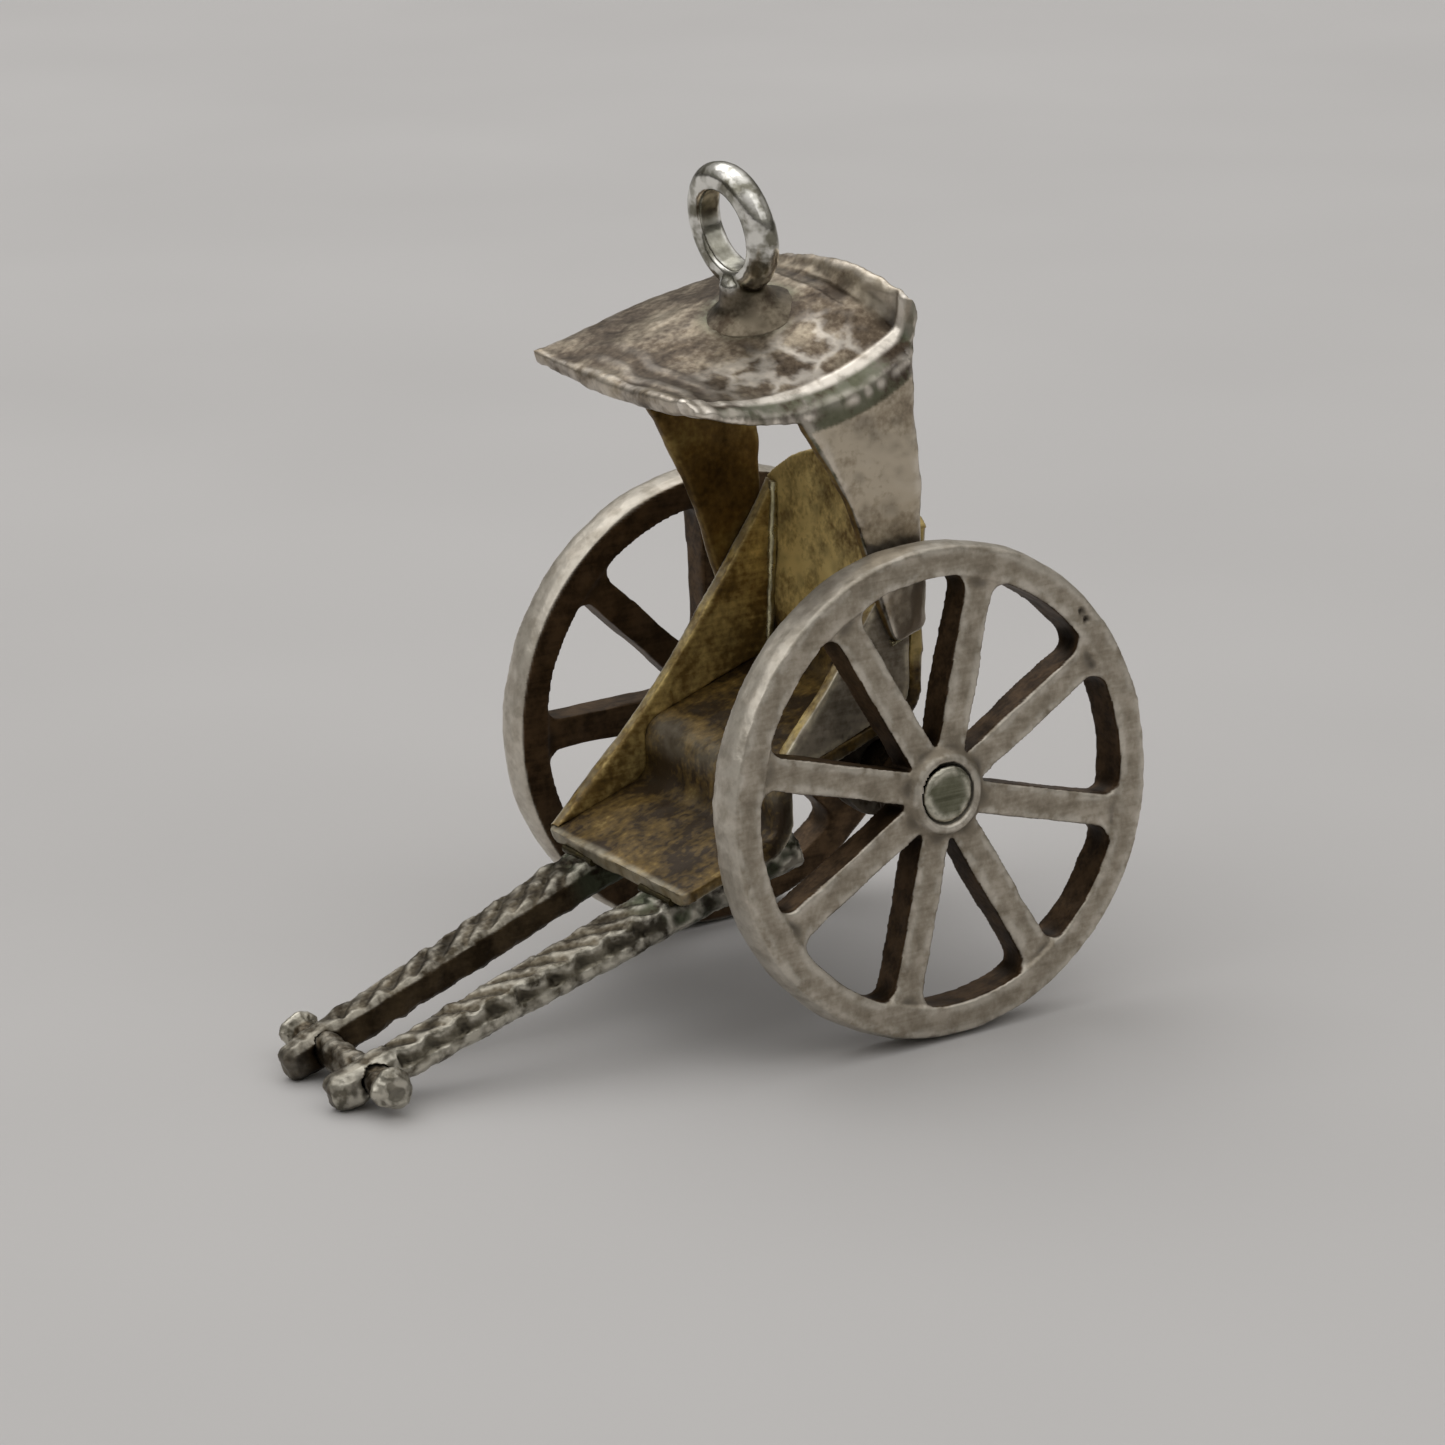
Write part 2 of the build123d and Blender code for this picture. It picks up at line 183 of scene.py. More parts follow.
# %% Light
lamps = [
    # name, steps right, up and towards the camera from the charm, distance, size, share of the light
    ("overhead_soft_box", (-0.3, 1.0, -0.5), 1000 * mm, 800 * mm, 0.19),
    ("window_on_the_left", (-1.0, 0.8, 0.3), 1000 * mm, 700 * mm, 0.11),
    ("fill_on_the_right", (1.0, 0.8, 0.8), 1000 * mm, 800 * mm, 0.09),
]
for name, (steps_right, steps_up, steps_near), distance, size, share in lamps:
    direction = steps_right * level_right + steps_up * Vector((0, 0, 1)) + steps_near * back
    lamp_data = bpy.data.lights.new(name, "AREA")
    lamp_data.shape = "SQUARE"
    lamp_data.size = size
    lamp_data.energy = share * (np.pi * distance) ** 2
    lamp = bpy.data.objects.new(name, lamp_data)
    scene_objects.link(lamp)
    lamp.location = Vector((0, 0, axle_z)) + direction.normalized() * distance
    lamp.rotation_mode = "QUATERNION"
    lamp.rotation_quaternion = direction.to_track_quat("Z", "Y")

world = bpy.data.worlds.new("pale_room")
bpy.context.scene.world = world
world.use_nodes = True
tree = world.node_tree
tree.nodes.clear()
direction = add(tree, "ShaderNodeTexCoord").outputs["Generated"]
height = add(tree, "ShaderNodeSeparateXYZ", {0: direction}).outputs["Z"]
room = add(
    tree,
    "ShaderNodeValToRGB",
    {"Fac": height},
    [(0.0, "3c3a38"), (0.25, "78766f"), (0.55, "b0aeac"), (0.8, "dfdedc"), (1.0, "fffefc")],
)
glow = add(tree, "ShaderNodeBackground", {"Color": room})
add(tree, "ShaderNodeOutputWorld", {"Surface": glow})
print("lamps:", [lamp[0] for lamp in lamps])

# %% [markdown]
# ## From crisp solids to worn metal
# The model's edges are sharp, but years of handling round every edge of soft silver. We weld a copy
# of each solid, remesh it into small even cells and smooth it. Each pass of smoothing rounds the
# edges a little more and leaves flat faces flat. A bevel would need clean edges to follow, and the
# welded triangles don't have them. Blender's voxels have a smallest size, so the work is done at a
# thousand times real size.


# %% Worn copies
def crisp_copy(node):
    """A node's mesh, welded, in millimetres."""
    welded = bmesh.new()
    welded.from_mesh(frame["nodes"][node].data)
    bmesh.ops.remove_doubles(welded, verts=welded.verts, dist=0.001 * mm)
    bmesh.ops.scale(welded, vec=(1 / mm, 1 / mm, 1 / mm), verts=welded.verts)
    crisp = bpy.data.meshes.new(node + "_crisp")
    welded.to_mesh(crisp)
    welded.free()
    return crisp


def worn(crisp, cell, passes):
    """Softened copy of a mesh: cell is the remeshing size in millimetres."""
    helper = bpy.data.objects.new("helper", crisp)
    scene_objects.link(helper)
    remesh = helper.modifiers.new("even_cells", "REMESH")
    remesh.mode = "VOXEL"
    remesh.voxel_size = cell
    rounding = helper.modifiers.new("rounding", "SMOOTH")
    rounding.factor = 0.5
    rounding.iterations = passes
    evaluated = helper.evaluated_get(bpy.context.evaluated_depsgraph_get())
    mesh = bpy.data.meshes.new_from_object(evaluated)
    bpy.data.objects.remove(helper)
    return mesh


# %% [markdown]
# ## Marks that the metal remembers
# Old silver is bright where it is rubbed and dark where nothing reaches. Three values at each
# point of the surface say where that is: how far the point stands out from its neighbourhood (an
# edge), how far it lies in (a hollow), and how exposed its face is to fingers and cloth. The
# first two come from smoothing the surface and measuring which side of it each point is on.

# %% Edge and hollow marks
edge_reach = 0.22  # mm, how far the comparison looks around a point
full_edge = 0.035  # mm above the smoothed surface that counts as a full edge


def read(collection, name, width):
    """One value of every vertex as an array."""
    values = np.zeros(len(collection) * width, np.float32)
    collection.foreach_get(name, values)
    return values.reshape(-1, width).astype(float)


def smoothed(points, edges, rounds):
    """Points after that many rounds of moving each to the mean of its neighbours."""
    count = np.bincount(edges.ravel(), minlength=len(points))[:, None]
    for _ in range(rounds):
        total = np.empty_like(points)
        for axis in range(points.shape[1]):
            from_first = np.bincount(edges[:, 0], points[edges[:, 1], axis], len(points))
            from_second = np.bincount(edges[:, 1], points[edges[:, 0], axis], len(points))
            total[:, axis] = from_first + from_second
        points = total / np.maximum(count, 1)
    return points


def edge_marks(mesh, cell):
    """How far each vertex stands out from its surroundings, from 0 to 1, and how far it lies in."""
    points = read(mesh.vertices, "co", 3)
    normals = read(mesh.vertices, "normal", 3)
    edges = np.zeros(len(mesh.edges) * 2, np.int64)
    mesh.edges.foreach_get("vertices", edges)
    edges = edges.reshape(-1, 2)
    rounds = int(round(2 * (edge_reach / cell) ** 2))
    height = ((points - smoothed(points, edges, rounds)) * normals).sum(axis=1, keepdims=True)
    height = smoothed(height, edges, 2)[:, 0]
    return np.clip(height / full_edge, 0, 1) ** 2, np.clip(-height / full_edge, 0, 1)


def store(mesh, name, values):
    """Keeps one value for each vertex on the mesh."""
    mesh.attributes.new(name, "FLOAT", "POINT").data.foreach_set("value", values.astype(np.float32))


# %% [markdown]
# ## The finishes
# One graph serves all the silver, with other colours and sizes for each finish. It lays six coats
# from the bottom up: the tarnish of sheltered faces, the mottled grey of exposed ones, pale veins
# where the tarnish has cracked, dark dirt in hollows together with painted shade in corners and on
# the roof's fold, green verdigris at the joints, and bright metal where it is rubbed together with
# painted highlights and glints. Where the metal is bright it is also smoother, so roughness follows
# the same masks. The masks are values that each piece keeps for every point of its surface.

# %% Aged silver
mark_names = ("edge", "hollow", "exposed", "bright", "grime_and_shade", "green", "vein", "pale")
verdigris = "68705a"
scratch_stretch = 0.06  # of the noise along a scratch
# Sizes in mm that all the finishes share
scratch_width = 0.12
crack_cell = 1.3  # between the cracks in the tarnish
crack_sway = 1.2  # how far a crack wanders
sway_size = 0.7  # of its bends
corner_reach = 1.2  # how far the painted shade reaches out of a corner
chip_size = 0.5
noise_kind = "ShaderNodeTexNoise"
math_kind = "ShaderNodeMath"
mix_kind = "ShaderNodeMix"
range_kind = "ShaderNodeMapRange"
ramp_kind = "ShaderNodeValToRGB"


def aged_silver(name, exposed, sheltered, edge, dirt_and_shade_colour, patch, speck, **settings):
    """Silver with tarnish. exposed and sheltered are colour stops, patch and speck are sizes in mm."""
    given = dict(gloss=0.3, dull=0.52, edge_share=0.85, speck_share=0.3, metal=0.9, grain=0.02)
    given.update(scratch_turn=(0.4, 0.7, 0.3), scratch_share=0.5, corner_share=0.8, hollow_share=1.0)
    given.update(settings)
    material, tree, output = new_material(name)
    place = add(tree, "ShaderNodeTexCoord").outputs["Object"]
    marks = {
        mark: add(tree, "ShaderNodeAttribute", attribute_name=mark).outputs["Fac"] for mark in mark_names
    }

    # Mottling in two sizes, and scratches that run one way
    patches = add(tree, noise_kind, {"Vector": place, "Scale": 1 / (patch * mm), "Detail": 6})
    specks = add(tree, noise_kind, {"Vector": place, "Scale": 1 / (speck * mm), "Detail": 3})
    turned_place = {"Vector": place, "Rotation": given["scratch_turn"], "Scale": (1, scratch_stretch, 1)}
    along = add(tree, "ShaderNodeMapping", turned_place)
    scratches = add(tree, noise_kind, {"Vector": along, "Scale": 1 / (scratch_width * mm), "Detail": 2})
    fine = add(
        tree, math_kind, {0: scratches, 1: given["scratch_share"], 2: specks}, operation="MULTIPLY_ADD"
    )
    shift = add(tree, math_kind, {0: fine, 1: 0.5 + given["scratch_share"] / 2}, operation="SUBTRACT")
    mottle = add(tree, math_kind, {0: shift, 1: given["speck_share"], 2: patches}, operation="MULTIPLY_ADD")
    mottle = add(tree, math_kind, {0: marks["pale"], 1: 0.25, 2: mottle}, operation="MULTIPLY_ADD")

    # Tarnish on sheltered faces, grey on exposed ones
    rubbed_tone = add(tree, ramp_kind, {"Fac": mottle}, exposed)
    tarnish_tone = add(tree, ramp_kind, {"Fac": mottle}, sheltered)
    uneven = add(tree, math_kind, {0: shift, 1: 0.25, 2: marks["exposed"]}, operation="MULTIPLY_ADD")
    rubbed = add(tree, range_kind, {0: uneven, 1: 0.25, 2: 0.75}, interpolation_type="SMOOTHSTEP")
    colour = add(tree, mix_kind, {0: rubbed, 6: tarnish_tone, 7: rubbed_tone}, data_type="RGBA")

    # Pale veins where the tarnish has cracked
    sway = add(tree, noise_kind, {"Vector": place, "Scale": 1 / (sway_size * mm), "Detail": 3})
    bent = add(
        tree,
        "ShaderNodeVectorMath",
        {0: sway.outputs["Color"], 1: [crack_sway * mm] * 3, 2: place},
        operation="MULTIPLY_ADD",
    )
    cell_size = {"Vector": bent, "Scale": 1 / (crack_cell * mm)}
    cracks = add(tree, "ShaderNodeTexVoronoi", cell_size, feature="DISTANCE_TO_EDGE")
    vein = add(tree, range_kind, {0: cracks, 1: 0.22, 2: 0.0}, interpolation_type="SMOOTHSTEP")
    veined = add(tree, math_kind, {0: vein, 1: marks["vein"]}, operation="MULTIPLY")
    colour = add(tree, mix_kind, {0: veined, 6: colour, 7: linear(edge)}, data_type="RGBA")

    # Dirt in the hollows, and painted shade in corners where other surfaces come close; then verdigris
    nearby = add(tree, "ShaderNodeAmbientOcclusion", {"Distance": corner_reach * mm}, samples=6)
    corner = nearby.outputs["AO"]
    corner_shade = add(tree, range_kind, {0: corner, 1: 0.75, 2: 0.2, 4: given["corner_share"]})
    hollow = add(tree, math_kind, {0: marks["hollow"], 1: given["hollow_share"]}, operation="MULTIPLY")
    dirt_and_shade = add(tree, math_kind, {0: hollow, 1: corner_shade}, operation="MAXIMUM")
    dirt_and_shade = add(tree, math_kind, {0: dirt_and_shade, 1: marks["grime_and_shade"]}, operation="MAXIMUM")
    broken = add(tree, range_kind, {0: mottle, 1: 0.3, 2: 0.6, 3: 0.55})
    dirt_and_shade = add(tree, math_kind, {0: dirt_and_shade, 1: broken}, operation="MULTIPLY")
    colour = add(tree, mix_kind, {0: dirt_and_shade, 6: colour, 7: linear(dirt_and_shade_colour)}, data_type="RGBA")
    mossy = add(tree, range_kind, {0: mottle, 1: 0.4, 2: 0.58})
    mossy = add(tree, math_kind, {0: mossy, 1: marks["green"]}, operation="MULTIPLY")
    colour = add(tree, mix_kind, {0: mossy, 6: colour, 7: linear(verdigris)}, data_type="RGBA")

    # Bright metal on the worn edges and rubbed places, chipped by a coarser noise; the bright mark also
    # carries painted highlights, glints and painted light
    chips = add(tree, noise_kind, {"Vector": place, "Scale": 1 / (chip_size * mm), "Detail": 4})
    chipped = add(tree, range_kind, {0: chips, 1: 0.38, 2: 0.56})
    worn_edge = add(tree, math_kind, {0: marks["edge"], 1: marks["exposed"]}, operation="MULTIPLY")
    worn_edge = add(tree, math_kind, {0: worn_edge, 1: given["edge_share"]}, operation="MULTIPLY")
    worn_edge = add(tree, math_kind, {0: worn_edge, 1: chipped}, operation="MULTIPLY")
    less_chipped = add(tree, range_kind, {0: chips, 1: 0.38, 2: 0.56, 3: 0.45})
    rubbed_and_highlit = add(tree, math_kind, {0: marks["bright"], 1: less_chipped}, operation="MULTIPLY")
    bright = add(tree, math_kind, {0: worn_edge, 1: rubbed_and_highlit}, operation="MAXIMUM")
    colour = add(tree, mix_kind, {0: bright, 6: colour, 7: linear(edge)}, data_type="RGBA")

    # Gloss follows the wear and the painted highlights, and the grain follows the mottling
    shine = add(tree, math_kind, {0: mottle, 1: rubbed}, operation="MULTIPLY")
    shine = add(tree, math_kind, {0: shine, 1: bright}, operation="MAXIMUM")
    roughness = add(tree, range_kind, {0: shine, 3: given["dull"], 4: given["gloss"]})
    relief = add(tree, math_kind, {0: patches, 1: 1.5, 2: fine}, operation="MULTIPLY_ADD")
    bump = add(tree, "ShaderNodeBump", {"Height": relief, "Strength": 0.5, "Distance": given["grain"] * mm})
    looks = {"Base Color": colour, "Roughness": roughness, "Metallic": given["metal"], "Normal": bump}
    shader = add(tree, "ShaderNodeBsdfPrincipled", looks)
    tree.links.new(shader.outputs["BSDF"], output.inputs["Surface"])
    return material


# %% Finishes for the pieces
# Cast silver: pinkish grey on the faces that are rubbed, nearly black between the spokes.
cast_silver = aged_silver(
    "cast_silver",
    exposed=[(0.3, "8d8373"), (0.5, "a49a8a"), (0.68, "b9afa0")],
    sheltered=[(0.35, "3a2a18"), (0.65, "604b34")],
    metal=0.75,
    edge="ece6da",
    dirt_and_shade_colour="1c140b",
    patch=0.6,
    speck=0.12,
    speck_share=0.35,
    scratch_share=1.0,
    edge_share=0.45,
    grain=0.012,
)
# Rolled sheet, bent cold: mottled brown and pinkish grey outside, golden brown under the roof.
rolled_silver = aged_silver(
    "rolled_silver",
    exposed=[(0.3, "40352a"), (0.46, "695c4d"), (0.66, "a69985"), (0.8, "c4b8a4")],
    sheltered=[(0.3, "4c3a1d"), (0.5, "775f34"), (0.7, "9b8650")],
    edge="f0e8dc",
    dirt_and_shade_colour="2a2118",
    patch=1.7,
    speck=0.18,
    speck_share=0.42,
    scratch_share=0.1,
    edge_share=0.4,
    grain=0.012,
)
# Sheet that was gilded by its own tarnish: golden brown inside, grey outside.
golden_silver = aged_silver(
    "golden_silver",
    exposed=[(0.3, "5d5344"), (0.5, "8b8171"), (0.68, "b5aa98")],
    sheltered=[(0.25, "3a2b16"), (0.5, "866d3a"), (0.78, "e4cb84")],
    edge="e9dfc4",
    dirt_and_shade_colour="20180a",
    patch=1.4,
    speck=0.2,
    speck_share=0.5,
    dull=0.48,
    metal=0.4,
    corner_share=0.3,
)
# Chased bar: olive grey, bright on the ridges and dark in the cuts.
chased_silver = aged_silver(
    "chased_silver",
    exposed=[(0.3, "49443a"), (0.5, "696355"), (0.68, "8b8576")],
    sheltered=[(0.35, "33281a"), (0.65, "574935")],
    edge="d8d3c5",
    dirt_and_shade_colour="19140a",
    patch=1.0,
    speck=0.14,
    edge_share=0.75,
    hollow_share=0.65,
    scratch_share=0.9,
)
# Filed end of the axle: greenish grey, with the file's marks running up and down.
filed_silver = aged_silver(
    "filed_silver",
    exposed=[(0.3, "5c5c4a"), (0.5, "6c6c59"), (0.68, "7b7b68")],
    sheltered=[(0.35, "2a2115"), (0.65, "4d4130")],
    edge="d8d4c4",
    dirt_and_shade_colour="1c160c",
    patch=1.2,
    speck=0.12,
    scratch_turn=(1.5708, 0, 0),
    scratch_share=2.5,
    speck_share=0.3,
)
# Drawn wire, polished by the ring that hangs in it, with dull brown solder at its foot.
drawn_wire = aged_silver(
    "drawn_wire",
    exposed=[(0.3, "716d60"), (0.5, "8d8a7d"), (0.68, "aaa89c")],
    sheltered=[(0.3, "352b22"), (0.5, "564b3f"), (0.7, "857969")],
    edge="f6f4ee",
    dirt_and_shade_colour="2a2416",
    patch=1.0,
    speck=0.14,
    gloss=0.12,
    dull=0.34,
    metal=1.0,
    grain=0.005,
)
# Silver solder: paler and yellower than the sheet, run into lumps.
run_solder = aged_silver(
    "run_solder",
    exposed=[(0.3, "6d6747"), (0.5, "979069"), (0.68, "c0b98f")],
    sheltered=[(0.35, "4a4228"), (0.65, "7a704a")],
    edge="f2ecd2",
    dirt_and_shade_colour="241d0e",
    patch=0.6,
    speck=0.12,
    gloss=0.2,
    dull=0.4,
)
print("finishes:", [material.name for material in bpy.data.materials if material.use_nodes])

# %% [markdown]
# ## What happened where
# The marks come from rules about places, one set for each kind of piece: a wheel is rubbed on its
# outer face, the roof carries painted highlights and painted shade along its fold, dirt and
# verdigris sit where a shaft meets the floor. A rule works on the level carriage, measured in
# millimetres from the axle's centre, because there the directions are plain: x is left, y is back,
# z is up. A rule may also raise or sink the surface, so that a worn border is a real ridge and not
# only a colour. The axle's left end is lifted a hair as well, because its wheel leans and the end
# sits in the middle of the hub. Hubs and journals stay smooth, so that the wheels turn without
# touching.

# %% Level coordinates and soft steps
rest_tilt = radians(18.578)  # how far the carriage tips forward when its shafts rest on the floor
axle_centre = np.array([0, axle_y, axle_z]) / mm


def turned(vectors, angle):
    """Vectors turned about the X axis."""
    y = vectors[:, 1] * cos(angle) - vectors[:, 2] * sin(angle)
    z = vectors[:, 1] * sin(angle) + vectors[:, 2] * cos(angle)
    return np.stack([vectors[:, 0], y, z], axis=1)


def ease(values, low, high):
    """Values from low to high, turned smoothly into 0 to 1."""
    share = np.clip((values - low) / (high - low), 0, 1)
    return share * share * (3 - 2 * share)


def band(values, low, high, soft=0.12):
    """1 between low and high, falling to 0 on both sides."""
    return ease(values, low - soft, low) * (1 - ease(values, high, high + soft))


# %% Rules for the wheels and the canopy
hub_seat_radius = 0.91  # mm, of the recess that the axle's end lies in
hub_seat_start = 5.9  # mm from the middle plane, where that recess begins
hub_radius = 1.3  # mm, inside which a wheel is smooth
tread_radius = 6.4  # mm, outside which a face that points outward is tread
casting_pits = [(4.95, 4.35), (5.1, 4.1)]  # mm, back and up from the left wheel's centre
roof_front = -2.65  # mm, the roof's front edge
roof_crease = 4.3  # mm, where the rear lip turns up
fold_x = 4.16  # mm, the outside of the straps
bail_place = 2.1  # mm, the ring's foot on the roof
roof_top = 12.95  # mm
painted_glint_depth = 0.4  # mm, of the row of painted glints below the fold


def wheel_marks(place, normal):
    """Rubbed outer faces and treads, a worn rim round the axle's end; painted light on treads and recess."""
    outward = normal[:, 0] * np.sign(place[:, 0])
    radius = np.hypot(place[:, 1], place[:, 2])
    radial = (normal[:, 1:] * place[:, 1:]).sum(axis=1) / np.maximum(radius, hub_seat_radius)
    tread = ease(radial, 0.3, 0.8) * (radius > tread_radius)
    hub_rim = band(radius, hub_seat_radius, hub_seat_radius + 0.12, 0.06) * ease(outward, 0.3, 0.8)
    far_out = ease(np.abs(place[:, 0]), hub_seat_start, hub_seat_start + 0.2)
    # The recess round the axle's end is painted pale and bright: painted light over the shade of its gap
    rivet_seat = (radius < hub_seat_radius + 0.05) * far_out
    hub_wall = ease(-radial, 0.3, 0.8) * rivet_seat
    pits = sum(1 - ease(np.hypot(place[:, 1] - y, place[:, 2] - z), 0.05, 0.16) for y, z in casting_pits)
    pits *= ease(normal[:, 0], 0.3, 0.8) * (place[:, 0] > 0)
    return {
        "exposed": np.maximum.reduce([ease(outward, 0.3, 0.8), 0.85 * tread, rivet_seat]),
        # The tread's share of bright is a painted highlight
        "bright": np.maximum.reduce([0.25 * hub_rim, 0.6 * rivet_seat, 0.5 * tread]),
        "grime_and_shade": pits,
        "pale": -0.8 * (1 - ease(radius, hub_radius, hub_radius + 0.7)),
        "relief": 0.03 * hub_rim + 0.04 * hub_wall - 0.1 * pits,
        "smooth": 1 - ease(radius, hub_radius, hub_radius + 0.9),
    }


def canopy_marks(place, normal):
    """A mottled roof, painted light and shade at its fold, a streaked front edge and a creased rear lip."""
    x, y, z = place.T
    upward = ease(normal[:, 2], 0.1, 0.5)
    outside = ease(normal[:, 0] * np.sign(x), 0.1, 0.5)

    # The fold between the roof and the left strap: its top is found step by step along the roof
    slot_length = 0.2
    slot = ((y - y.min()) / slot_length).astype(int)
    fold_top = np.full(slot.max() + 1, -np.inf)
    on_the_edge = x > fold_x - 0.25
    np.maximum.at(fold_top, slot[on_the_edge], z[on_the_edge])
    below_fold = fold_top[slot] - z
    left_side = ease(normal[:, 0], 0.4, 0.7) * (x > fold_x - 0.3)
    # A row of painted glints below the fold, and a painted highlight at its front corner
    beads = 0.5 + 0.5 * np.sin(8 * y + 3 * np.sin(2.3 * y))
    corner_highlight = (1 - ease(np.hypot(y - roof_front - 0.3, below_fold - 0.2), 0.2, 0.6)) * (x > fold_x - 0.7)
    painted_glints = np.maximum(np.exp(-(((below_fold - painted_glint_depth) / 0.14) ** 2)) * left_side * beads, corner_highlight)
    # A painted highlight along the raised ridge beside the fold
    fold_ridge_highlight = band(fold_x - x, 0.45, 0.62) * upward
    # Painted shade on the fold's rounded face: darker and green-grey
    fold_shade = band(normal[:, 0], 0.3, 0.8) * (x > fold_x - 0.5)
    fold_shade = np.maximum(fold_shade, band(below_fold, 0.1, 0.8) * left_side)

    # The front edge and the streaks that follow it
    from_front = y - roof_front
    wobble = from_front + 0.1 * np.sin(1.9 * x + 0.6) + 0.05 * np.sin(4.3 * x)
    streaks = band(wobble, 0.6, 0.7, 0.2) + 0.6 * band(wobble, 1.3, 1.4, 0.2)
    streaks *= upward * ease(x, -3.0, 0.5)
    front_edge = 1 - ease(from_front, 0.15, 0.4)
    front_face = front_edge * ease(-normal[:, 1], 0.1, 0.5)

    # The rear lip, and the solder and tarnish round the ring
    rear_face = ease(y, roof_crease, roof_crease + 0.2) * ease(normal[:, 1], 0.1, 0.5)
    # The crease before the rear lip is sunk a little and darker
    crease = band(y, roof_crease - 0.35, roof_crease - 0.1) * upward * ease(-x, -2.6, -1.5)
    rear_lip = ease(y, roof_crease - 0.1, roof_crease + 0.1)
    rear_edge = ease(y, roof_crease + 0.2, roof_crease + 0.45)
    curl = ease(y, roof_crease, roof_crease + 0.2) * ease(x, 2.2, 3.4) * upward
    puddle = (1 - ease(np.hypot(x, y - bail_place), 0.8, 1.7)) * upward
    middle = (1 - ease(np.abs(x - 0.4), 1.2, 2.4)) * band(y, -0.8, 3.2, 1.0) * upward

    return {
        "exposed": np.maximum.reduce([upward, outside, front_face, rear_face]),
        "bright": np.maximum.reduce([painted_glints, fold_ridge_highlight, 0.3 * streaks, 0.1 * front_face, 0.35 * curl]),
        "grime_and_shade": np.maximum.reduce([0.55 * fold_shade * (1 - painted_glints), 0.4 * crease, 0.45 * puddle]),
        "green": np.maximum(puddle, 0.6 * fold_shade * (1 - painted_glints)),
        "pale": outside * (1 - upward) * (1 - fold_shade) + 0.25 * front_edge + 0.7 * rear_lip - 0.25 * middle,
        "vein": 0.5 * upward * ease(x, 1.0, 2.2) * ease(y, -1.6, -0.6) * (1 - ease(y, 3.0, 3.8)),
        "relief": 0.04 * streaks - 0.05 * crease + 0.04 * fold_ridge_highlight + 0.04 * rear_edge + 0.04 * front_edge,
    }


# %% Rules for the seat, the shafts and the small pieces
floor_lip = -7.4  # mm, the front of the floor
riser_top = (-3.5, 1.63)  # mm, y and z of the fold above the riser
shaft_tip = -18.2  # mm
bar_heads = 2.4  # mm, outside which the cross bar's heads lie
axle_end = 6.2  # mm, outside which the axle shows
journal_start = 4.2  # mm, outside which the axle is smooth
end_lift = 0.055  # mm, of the axle's left end


def seat_marks(place, normal):
    """Golden inside, grey outside, rubbed on the floor's lip, with painted light up the back and fold."""
    from_fold = np.hypot(place[:, 1] - riser_top[0], place[:, 2] - riser_top[1])
    lip = 1 - ease(place[:, 1], floor_lip + 0.08, floor_lip + 0.3)
    under_lip = lip * ease(-normal[:, 2], -0.2, 0.4)
    # The back is painted lighter towards its top and the floor darker, as painted light and shade, and a
    # faint painted highlight follows the fold above the riser. Under the floor's lip it is darker and
    # greener.
    return {
        "exposed": ease(0.6 * normal[:, 1] - normal[:, 2], -0.1, 0.4),
        "bright": np.maximum(0.5 * lip * (1 - under_lip), 0.15 * (1 - ease(from_fold, 0.3, 1.0))),
        "green": under_lip,
        "grime_and_shade": 0.5 * under_lip,
        "pale": 1.5 * ease(place[:, 2], riser_top[1] + 0.6, riser_top[1] + 1.5) - 0.7,
    }


def side_marks(place, normal):
    """Golden inside, grey outside."""
    outward = normal[:, 0] * np.sign(place[:, 0])
    return {"exposed": ease(outward, -0.2, 0.4), "pale": np.full(len(place), 0.3)}


def shaft_marks(place, normal):
    """Rubbed outside and on top, dirty where the floor is soldered on."""
    outward = normal[:, 0] * np.sign(place[:, 0])
    near_lip = ease(place[:, 1], floor_lip - 1.3, floor_lip - 0.2)
    return {
        "exposed": np.maximum(ease(outward, 0.1, 0.6), 0.5 * ease(normal[:, 2], 0.2, 0.6)),
        "bright": 0.2 * (1 - ease(place[:, 1], shaft_tip + 0.2, shaft_tip + 0.8)),
        "grime_and_shade": 0.9 * near_lip,
        "green": 0.5 * near_lip,
    }


def axle_marks(place, normal):
    """Bright ends in a dark rod, with painted light on the ends' walls."""
    end = ease(np.abs(place[:, 0]), axle_end - 0.05, axle_end + 0.05)
    # The walls of the ends are painted bright: painted light over the shade in the hub's gap
    wall = end * (1 - ease(np.abs(normal[:, 0]), 0.4, 0.8))
    lift = end_lift * (place[:, 0] > axle_end - 0.1)
    journal = ease(np.abs(place[:, 0]), journal_start, journal_start + 0.4)
    return {"exposed": end, "bright": 0.6 * wall, "relief": 0.03 * wall, "lift": lift, "smooth": journal}


def bar_marks(place, normal):
    """Rubbed heads on a duller bar."""
    head = ease(np.abs(place[:, 0]), bar_heads - 0.1, bar_heads + 0.1)
    return {"exposed": 0.4 + 0.6 * head, "bright": 0.25 * head}


def bail_marks(place, normal):
    """Polished wire on a dull foot, painted lighter on its left side and darker on its right."""
    up_the_foot = place[:, 2] - roof_top
    foot = 1 - ease(up_the_foot, 0.5, 1.2)
    # The wire's side turned to the right is painted darker, as painted shade, and its left side lighter
    return {"exposed": 1 - foot, "green": 0.1 * foot, "pale": 0.4 - 0.8 * ease(-normal[:, 0], -0.2, 0.8)}


def hanger_marks(place, normal):
    """Hardly ever touched."""
    return {"exposed": np.full(len(place), 0.2)}


# %% [markdown]
# ## The ring and its foot
# The ring was soldered on with plenty of solder, which crept up the wire and spread over the roof
# in a thin puddle. Such a hollow curve isn't an edge that wears round, so smoothing can't give it.
# We spin two outlines instead: the wire's section about the ring's axis, worn flat on its inner
# side, and the foot's outline about an upright line. The foot then bends with the roof under it.

